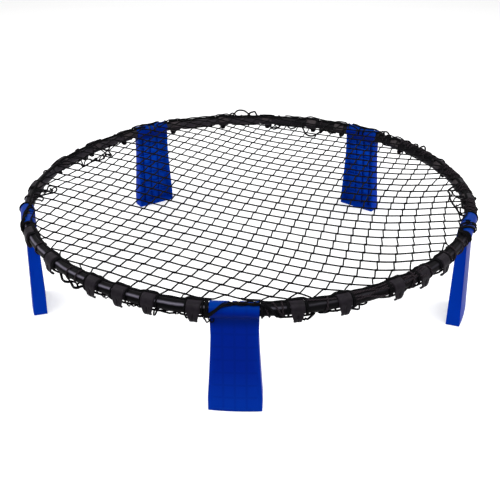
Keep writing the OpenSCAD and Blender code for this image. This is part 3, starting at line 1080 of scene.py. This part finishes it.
def borderRoutes():
    # strands laid round each other along the inner top of the tube and over the hooks, from
    # one leg's barrel to the next
    size = borderSizes
    routes = []
    edge = turnOf(legSizes["topWidth"] / 2)
    for leg in legAngles:
        angles = [mix(leg + edge, leg + bayAngle - edge, n / size["rings"])
                  for n in range(size["rings"] + 1)]
        for strand in range(size["strands"]):
            points = []
            for angle in angles:
                turn = 2 * pi * (runOf(angle) / size["twist"] + strand / size["strands"])
                wander = size["wave"] * sin(radians(size["waves"] * angle))
                around = size["around"] + wander + degrees(size["radius"] * cos(turn) / tubeRadius)
                lift = size["radius"] + size["strand"] / 2 + size["radius"] * sin(turn)
                points.append(rimPoint(angle, around, lift, size["ramp"]))
            routes.append(points)
        for around in size["cores"]:
            routes.append([rimPoint(angle, around, size["strand"] / 2) for angle in angles])
    return routes


# Slack of the net's edge that stands off the tube in loops. Each row is the angle on the
# ring, the loop's width, how far it stands off, its direction in degrees round the tube,
# how far its tip leans along the rim, and the strand's thickness; lengths in mm
slackLoops = (
    (236.0, 9, 7.5, -66, 0, 2.6), (234.9, 10, 5, -60, 2, 2.4),
    (240.3, 8, 4.5, -64, 2, 2.2), (241.2, 9, 5, -64, -2, 2.2),
    (246.9, 9, 5.5, -64, 1, 2.4), (248.1, 12, 4, -64, 0, 2.6), (249.6, 9, 3, -60, 0, 2.6),
    (253.4, 6, 9, -66, -2, 3.2), (255.6, 34, 3, -64, 4, 3.2), (257.9, 10, 2.6, -60, 0, 2.2),
    (260.1, 8, 4.2, -64, 0, 3.4), (264.4, 12, 8, -66, -1, 2.8), (265.3, 9, 6, -60, 2, 2.4),
    (-74.8, 20, 8, -64, -4, 4.0), (-71.2, 20, 1.5, -64, 0, 3.4), (-69.4, 14, 2, -64, 2, 3.2),
    (-64.6, 18, 7.5, -64, 5, 3.4), (-62.5, 14, 1.5, -60, 0, 3.2),
    (-49.0, 14, 2, -60, 2, 3.4), (-33.0, 18, 2, -55, 0, 3.4),
    (-6.5, 20, 4, -5, 0, 3.6), (-1.0, 16, 4, 5, 3, 3.6), (3.5, 16, 3, 0, -3, 3.4),
    (31.1, 20, 8, 55, 2, 4.0), (34.2, 16, 6, 60, -2, 3.6), (37.5, 24, 4, 60, 0, 4.0),
    (45.6, 20, 7, 75, 4, 4.0), (47.3, 12, 5, 75, 0, 3.6),
    (71.3, 58, 16, 240, 6, 4.4), (68.5, 10, 9, 240, 0, 3.4), (78.6, 24, 7, 245, 0, 4.0),
    (84.0, 26, 12, 240, 3, 4.6), (83.4, 14, 6, 240, -2, 3.4), (65.0, 18, 6, 240, 0, 4.0),
    (95.3, 42, 13, 85, 2, 4.4), (91.7, 22, 9, 85, -2, 4.4), (98.2, 16, 5, 80, 0, 4.0),
    (143.6, 22, 8, 218, 3, 4.0), (153.0, 22, 7, 222, 2, 4.0),
)

# Low scallops of the slack edge along the outside of the rim: where each stretch starts and
# ends, the width of a scallop in mm and how far it stands off in mm
scallops = ((60, 82, 30, 1.6), (98, 121, 28, 1.0), (20, 46, 25, 1.6))

# Strands that lie on the net inside the rim: the thickness in mm, the angle at which one leaves
# the tube, where the camera sees it on the net, in pixels, and the angle at which it comes back
strayHeight = ringHeight + 13.5 * mm
strayRoot = (ringRadius - 9 * mm, ringHeight + 11 * mm)    # where it meets the tube: out and up
strayStrands = (
    (4.2, 5.5, ((448.3, 190.3), (449.7, 193.7), (450, 198.3), (452.3, 203), (455.7, 207.7),
                (458.3, 211.7), (460.7, 214.7)), -14.5),
    (2.8, None, ((449.7, 189.7), (453, 193.7), (456.3, 197)), -5.5),
    (2.8, -3, ((455.7, 197.7), (453.7, 200.3), (452, 203)), None),
    (2.8, None, ((458.3, 211.7), (456.3, 205), (458.3, 205.7), (459.7, 204.3)), -7),
    (3.6, 184.2, ((45.8, 191.7), (48.3, 186.7), (51.7, 185.8), (55.8, 187.5), (56.7, 190),
                  (54.2, 192.5), (50.8, 193.3), (46.7, 194.2)), 188.5),
    (3.2, None, ((53, 190.5), (50, 188.5), (52.5, 192.5), (49, 191.5), (46.5, 190)), 184),
    (3.4, 186.4, ((40, 195), (42.5, 196.7), (43.3, 199.2), (41.7, 201.2), (40, 200)), 190),
    (3.4, 166, ((75, 163.7), (80, 163.7), (83.3, 166.7), (87.5, 164.2), (94.2, 160.8),
                (99.2, 160.5), (103.3, 158.3), (107.5, 154.2), (111.7, 155.8), (106, 150)), 151.2),
    (3.0, 160, ((80, 159.2), (83.3, 165.8), (85.8, 160), (90.8, 159.2), (91.7, 161.7), (96, 158),
                (98, 161), (103, 154), (104, 159), (107, 150), (110, 156)), 148.6),
)

# Strands that hang in loops under the rim, in the same way, at a height of their own
hangingHeight = ringHeight - 17 * mm
hangingStrands = (
    (4.6, ((60.2, 271), (61.5, 276), (62.5, 279.5), (65, 281.5), (68, 282), (70.5, 281.5),
           (72, 284.5), (74, 287.5), (78, 287.7), (80.5, 286.5), (83, 286), (85, 288.5), (87, 291))),
    (3.4, ((65, 273.5), (68, 278.5), (70.5, 281), (73, 281.5), (76, 282.8), (77.5, 285), (77.8, 287.4))),
)

# Strands and bunches of them wound over the tube: where each stretch starts and ends, how many
# cross it, how far one runs along the rim on its way over, and its thickness; lengths in mm
wraps = (
    (198, 216, 4, 12, 2.9), (-84, -79, 3, -22, 2.9), (-75, -68, 1, 24, 2.9), (-52, -24, 8, 34, 3.4),
    (229.4, 230, 1, 5, 2.9), (232.3, 232.9, 1, 6, 2.9),
    (-12, 40, 26, 15, 4.6), (-12, 40, 14, 11, 2.9), (40, 49, 3, 14, 3.6), (59, 121, 10, 13, 3.0),
    (131, 193, 7, 14, 3.0), (131, 193, 6, 11, 2.4),
)

# Strands that lie along the tube between two posts: where each starts and ends, and its place
# there in degrees round the tube
laidStrands = (
    (-75.4, -68.8, 88, 66), (-65.2, -55.4, 92, 40), (-65.2, -55.4, 74, 84), (-64.6, -55.4, 22, 64),
    (-65.0, -57.0, 46, -10), (-52.0, -45.4, 60, 90), (-52.0, -45.4, 30, 70), (-52.0, -45.4, 84, 20),
)

# How the loops, scallops and wraps are drawn. The pairs are the least and the most of a draw.
slackSizes = {
    "seed": 11,
    "step": 4 * mm,
    "laidRings": 12,
    "loopRings": 7,
    "loopRoot": 50,            # how far round the tube a loop's ends go on, in degrees
    "loopBulge": (0.82, 1.12),
    "loopFullness": 0.75,
    "scallopAround": 62,
    "scallopRamp": 5 * mm,
    "scallopBulge": (0.4, 1.3),
    "scallopDrift": (-4, 4),
    "wrapTries": 12,           # for a place that is clear of hooks and legs
    "wrapPlace": (0.1, 0.9),
    "wrapLean": (-0.2, 1.3),
    "wrapTouch": (0.6, 1.0),   # lift in half thicknesses, and what comes on top of it in mm
    "wrapLift": (0, 0.7),
    "wrapLow": (-110, -60),    # its ends, degrees round the tube
    "wrapHigh": (118, 165),
    "wrapRings": 10,
    "wrapClear": (-0.6, -0.3, 0, 0.3, 0.6),
}


def laidRoute(start, stop, low, high):
    count = slackSizes["laidRings"]
    return [rimPoint(mix(start, stop, n / count), mix(low, high, ease(n / count)), netSizes["strand"] / 2)
            for n in range(count + 1)]


def slackRoute(rng, angle, width, reach, around, lean):
    # both ends of a loop go on round the tube, away from the side on which it stands off
    size = slackSizes
    rings = size["loopRings"]
    half = netSizes["strand"] / 2
    root = -size["loopRoot"] if around < 0 else size["loopRoot"]
    rows = [(-0.5, root, half), (-0.5, root / 2, half)]
    for n in range(rings + 1):
        bulge = sin(pi * n / rings) ** size["loopFullness"] * rng.uniform(*size["loopBulge"])
        rows.append((n / rings - 0.5 + lean / width * bulge, 0, half + reach * mm * bulge))
    rows += [(0.5, root / 2, half), (0.5, root, half)]
    return [rimPoint(angle + turnOf(share * width * mm), around + turn, lift) for share, turn, lift in rows]


def scallopRoute(start, stop, width, reach, rng):
    size = slackSizes
    points = []
    count = max(1, round(runOf(stop - start) / (width * mm)))
    for n in range(count):
        high = reach * rng.uniform(*size["scallopBulge"]) * mm
        for share in (0, 0.25, 0.5, 0.75):
            angle = mix(start, stop, (n + share) / count)
            lift = netSizes["strand"] / 2 + high * sin(pi * share)
            around = size["scallopAround"] + rng.uniform(*size["scallopDrift"])
            points.append(rimPoint(angle, around, lift, size["scallopRamp"]))
    return points


def wrapRoutes(rng):
    # routes with their thicknesses
    size = slackSizes
    shares = [n / size["wrapRings"] for n in range(size["wrapRings"] + 1)]
    routes = []
    for start, stop, count, slant, thickness in wraps:
        half = thickness / 2 * mm
        for n in range(count):
            for _ in range(size["wrapTries"]):
                middle = mix(start, stop, (n + rng.uniform(*size["wrapPlace"])) / count)
                lean = turnOf(slant * rng.uniform(*size["wrapLean"]) * mm)
                if min(freeRun(middle + lean * share) for share in size["wrapClear"]) > half:
                    break
            else:
                continue
            lift = rng.uniform(*size["wrapTouch"]) * half + rng.uniform(*size["wrapLift"]) * mm
            low, high = rng.uniform(*size["wrapLow"]), rng.uniform(*size["wrapHigh"])
            routes.append((thickness, [rimPoint(middle + lean * (share - 0.5), mix(low, high, share), lift)
                                       for share in shares]))
    return routes


def makeNet(material):
    size = netSizes
    rng = random.Random(size["seed"])
    lattice = netLattice(rng)
    inside = knotsInside(lattice)
    reach = size["reach"]
    lines, ends = [], []
    for family in ("long", "cross"):
        for fixed in range(-reach + 1, reach):
            keys = [(n, fixed) if family == "long" else (fixed, n) for n in range(-reach + 1, reach)]
            kept = [key for key in keys if key in inside]
            if not kept:
                continue
            line = []
            for key in kept:
                spot, along = lattice[key], knotDirection(lattice, key)
                if family == "long":
                    line.append(spot.copy())
                else:
                    line += [spot - along * size["offset"], spot + along * size["offset"]]
            for way, last in ((-1, 0), (1, -1)):
                beyond = keys[keys.index(kept[last]) + way]
                ends.append({"line": len(lines), "family": family,
                             "angle": rimCrossing(lattice[kept[last]], lattice[beyond])})
            lines.append(line)
    gatherEnds(ends)
    routes = {"long": [], "cross": []}
    for n, line in enumerate(lines):
        start, finish = (end for end in ends if end["line"] == n)
        points = list(reversed(endRoute(start, rng))) + line + endRoute(finish, rng)
        routes[start["family"]].append(smoothRoute(points, size["step"]))
    for family, nodes in (("long", ("net", "net_ties")), ("cross", ())):
        name = f"net_{family}_strands"
        place(name, twine(name, routes[family], size["strand"]), material, "ring", "net_cord", *nodes)
    place("net_knots", knots(lattice, inside), material, "ring", "net_cord")
    place("net_border", twine("net_border", borderRoutes(), borderSizes["strand"]),
          material, "ring", "net_cord")


def makeSlack(material, glintMaterial):
    # what the net's edge has to spare: loops, scallops, strays on the net and wraps on the tube
    rng = random.Random(slackSizes["seed"])
    strand = netSizes["strand"] / mm
    loops = [(row[5], slackRoute(rng, *row[:5])) for row in slackLoops]
    loops += [(strand, scallopRoute(*row, rng)) for row in scallops]
    for thickness, leaves, seen, returns in strayStrands:
        points = [placeSeen(*pixel, strayHeight) for pixel in seen]
        if leaves is not None:
            points.insert(0, ringPoint(leaves, *strayRoot))
        if returns is not None:
            points.append(ringPoint(returns, *strayRoot))
        loops.append((thickness, points))
    loops += [(thickness, [placeSeen(*pixel, hangingHeight) for pixel in seen])
              for thickness, seen in hangingStrands]
    wound = wrapRoutes(rng) + [(strand, laidRoute(*row)) for row in laidStrands]
    # the wound strands take the paler twine, a painted highlight on their coils
    for name, routes, twineMaterial in (("net_slack_loops", loops, material),
                                        ("net_wraps", wound, glintMaterial)):
        parts = [twine(name, [smoothRoute(route, slackSizes["step"])], thickness * mm)
                 for thickness, route in routes]
        place(name, joinMeshes(name, parts), twineMaterial, "ring", "net_cord")


def knots(lattice, inside):
    # a knot is a small turned bead, longer along the long strand that runs through it
    size = netSizes
    seed = bmesh.new()
    bmesh.ops.create_uvsphere(seed, u_segments=8, v_segments=5, radius=0.5)
    bmesh.ops.rotate(seed, matrix=Matrix.Rotation(radians(90), 3, "Y"), verts=seed.verts)
    bmesh.ops.scale(seed, vec=(size["knotLength"], size["knotWidth"], size["knotHeight"]), verts=seed.verts)
    bead = meshFrom("knot", seed)
    bm = bmesh.new()
    for key in sorted(inside):
        along = knotDirection(lattice, key)
        start = len(bm.verts)
        bm.from_mesh(bead)
        bm.verts.ensure_lookup_table()
        spot = Matrix.Translation(lattice[key]) @ Matrix.Rotation(atan2(along.y, along.x), 4, "Z")
        bmesh.ops.transform(bm, matrix=spot, verts=bm.verts[start:])
    return meshFrom("net_knots", bm)


# Edge cord: one closed loop behind the tongues and over the barrels
cordSizes = {
    "diameter": 3.6 * mm,
    "around": -47.8,           # behind a tongue, degrees round the tube
    "away": 13.7 * mm,
    "slackAround": -96,        # between two hooks, drawn up under the tube
    "slackAway": 12.5 * mm,
    "overLift": 2.2 * mm,
    "settle": 7 * mm,
    "sag": 22 * mm,            # run from a hook or a leg at which it is fully slack
    "points": 360,
    "step": 6 * mm,
    # over each leg: the runs from its middle at which the cord starts to climb, is up, starts
    # down and is down again, in mm, and its place when it is up and when it starts down,
    # degrees round the barrel
    "climbs": (
        (-60, -6, 42, 84, 70, 70), (-64, -50, -44, 12, 118, 118), (-60, -14, 20, 62, 96, 96),
        (-62, -6, 24, 60, 92, 92), (-48, -38, 28, 62, 116, 62),
    ),
    # strands that are laid round the cord on a leg
    "mates": (3, 4, 1, 1, 3),
    "mateLag": (0, 7, 0, 0, 2),  # how much farther on each one crosses, in mm
    "mateLagRun": 20,          # the run in mm over which that sets in
    "mateStrand": 2.2 * mm,
    "mateTwist": 60 * mm,
    "mateSpread": 0.2,         # how much farther from the cord each one lies
    "mateFlatness": 0.7,
    "mateMerge": 6,            # the higher, the nearer its ends it joins the cord
    "matePoints": 24,
    "mateStep": 5 * mm,
}


def cordPlace(angle):
    # the cord's place: how far out the centre line is, degrees and distance round it, and the
    # radius of what covers the tube
    size = cordSizes
    leg = min(range(legCount), key=lambda k: abs(turnBetween(angle, legAngles[k])))
    off = runOf(turnBetween(angle, legAngles[leg]))
    climb, up, fall, down, first, last = size["climbs"][leg]
    over = mix(first, last, ease((off / mm - up) / (fall - up)))
    rise = ease((off / mm - climb) / (up - climb)) * (1 - ease((off / mm - fall) / (down - fall)))
    centre, outer = coverAt(angle, size["settle"], legsOnly=True)
    free = ease(freeRun(angle) / size["sag"]) * (1 - rise)
    around = mix(mix(size["around"], size["slackAround"], free), over, rise)
    onLeg = (outer - tubeRadius) / (barrelRadius - tubeRadius)
    away = mix(mix(size["away"], size["slackAway"], free), barrelRadius + size["overLift"], onLeg)
    return centre, around, away, outer


def cordPoint(angle):
    return tubePoint(angle, *cordPlace(angle)[:3])


def mateRoute(leg, n):
    # one of the strands that run over a barrel with the cord
    size = cordSizes
    climb, up, _, down = size["climbs"][leg][:4]
    points = []
    count = size["matePoints"]
    for step in range(count + 1):
        run = mix(climb, down, step / count) * mm
        angle = legAngles[leg] + turnOf(run)
        lag = size["mateLag"][leg] * n * mm * ease((run / mm - up) / size["mateLagRun"])
        around = cordPlace(angle - turnOf(lag))[1]
        centre, _, away, outer = cordPlace(angle)
        turn = 2 * pi * (run / size["mateTwist"] + n / size["mates"][leg])
        beside = (size["diameter"] + size["mateStrand"]) / 2 * (1 + size["mateSpread"] * n)
        beside *= 1 - (2 * step / count - 1) ** size["mateMerge"]
        around += degrees(beside * cos(turn) / away)
        away = max(away + beside * sin(turn) * size["mateFlatness"], outer + size["mateStrand"] / 2)
        points.append(tubePoint(angle, centre, around, away))
    return points


def makeEdgeCord(material, netMaterial):
    size = cordSizes
    points = [cordPoint(360 * n / size["points"]) for n in range(size["points"])]
    route = smoothRoute(points, size["step"], closed=True)
    place("edge_cord_braid", twine("edge_cord_braid", [route], size["diameter"], closed=True),
          material, "ring", "edge_cord", "edge_cord")
    mates = [smoothRoute(mateRoute(leg, n), size["mateStep"])
             for leg in range(legCount) for n in range(size["mates"][leg])]
    place("net_leg_bundles", twine("net_leg_bundles", mates, size["mateStrand"]),
          netMaterial, "ring", "net_cord")


# An arch of strip lamps from side to side over the front, which draws one long highlight
# along the tube, a wide soft lamp behind, and a low lamp at either side, which shows in no
# reflection, for the legs there
studioSizes = {
    "world": 0.3,
    "aim": (0, 0, 0.15),       # what every lamp points at
    "floorHalf": 9,
    "floorTone": "#e6e6e6",
    "floorGlow": 0.35,
    "archHeight": 51,
    "archFrom": -200,
    "archTo": 20,
    "archLamps": 7,
    "archDistance": 3.0,
    "archLamp": (1.55, 0.26),
    "archPower": 19,
    "backSpot": (0, 3.2, 2.6),
    "backLamp": (2.4, 1.0),
    "backPower": 14,
    "sideSpots": ((-3.0, -0.5, 0.9), (3.0, -0.5, 0.9)),
    "sideLamp": (1.6, 0.8),
    "sidePower": 22,
}


def makeStudio():
    size = studioSizes
    world = bpy.data.worlds.new("studio")
    scene.world = world
    world.use_nodes = True
    tree = world.node_tree
    tree.nodes.clear()
    path = addNode(tree, "LightPath").outputs
    seen = addNode(tree, "Math", (path["Is Camera Ray"], path["Is Glossy Ray"]), operation="MAXIMUM")
    seen = addNode(tree, "Math", (seen, path["Is Transmission Ray"]), operation="MAXIMUM")
    light = addNode(tree, "Background", {"Color": "#ffffff", "Strength": size["world"]})
    white = addNode(tree, "Background", {"Color": "#ffffff", "Strength": 1})
    both = addNode(tree, "MixShader", (seen, light, white))
    addNode(tree, "OutputWorld", {"Surface": both})

    floor = bpy.data.objects.new("floor", meshFrom("floor", gridOf(1, 1, size["floorHalf"])))
    scene.collection.objects.link(floor)
    floor.data.materials.append(paleFloor())

    for n in range(size["archLamps"]):
        turn = radians(mix(size["archFrom"], size["archTo"], n / (size["archLamps"] - 1)))
        high = radians(size["archHeight"])
        way = Vector((cos(turn) * cos(high), sin(turn) * cos(high), sin(high)))
        addLamp(f"arch_{n + 1}", way * size["archDistance"], size["archLamp"], size["archPower"])
    addLamp("back", Vector(size["backSpot"]), size["backLamp"], size["backPower"])
    for n, spot in enumerate(size["sideSpots"]):
        addLamp(f"side_{n + 1}", Vector(spot), size["sideLamp"], size["sidePower"], shines=False)


def addLamp(name, spot, size, power, shines=True):
    lamp = bpy.data.lights.new(name, "AREA")
    lamp.shape = "RECTANGLE"
    lamp.size, lamp.size_y = size
    lamp.energy = power
    holder = bpy.data.objects.new(name, lamp)
    holder.location = spot
    holder.visible_glossy = shines
    holder.rotation_euler = (Vector(studioSizes["aim"]) - spot).to_track_quat("-Z", "Y").to_euler()
    scene.collection.objects.link(holder)


def paleFloor():
    # plain matt floor that reads as white to the camera and keeps a soft shadow
    size = studioSizes
    material, tree, shader = newMaterial("pale_floor")
    feed(tree, shader, {"Roughness": 0.9, "Base Color": size["floorTone"]})
    path = addNode(tree, "LightPath")
    glow = addNode(tree, "Emission", {"Color": "#ffffff", "Strength": size["floorGlow"]})
    both = addNode(tree, "AddShader", (shader, glow))
    pick = addNode(tree, "MixShader", (path.outputs["Is Camera Ray"], shader, both))
    feed(tree, tree.nodes["Material Output"], {"Surface": pick})
    return material


makeCamera()
makeStudio()
print("studio ready")

tubeCoat = satinTube()
for k in range(legCount):
    rimTube(k, tubeCoat)
print("rim tubes made")

makeLegs(legPlastic())
print("legs made")

makeHooks(hookNodes, mouldedNylon())
print("hooks made")

netTwine = blackTwine("net_twine")
makeNet(netTwine)
makeSlack(netTwine, blackTwine("glint_net_twine"))
print("net made")

makeEdgeCord(blackTwine("edge_braid"), netTwine)
print("edge cord made")

scene.view_settings.view_transform = "Standard"
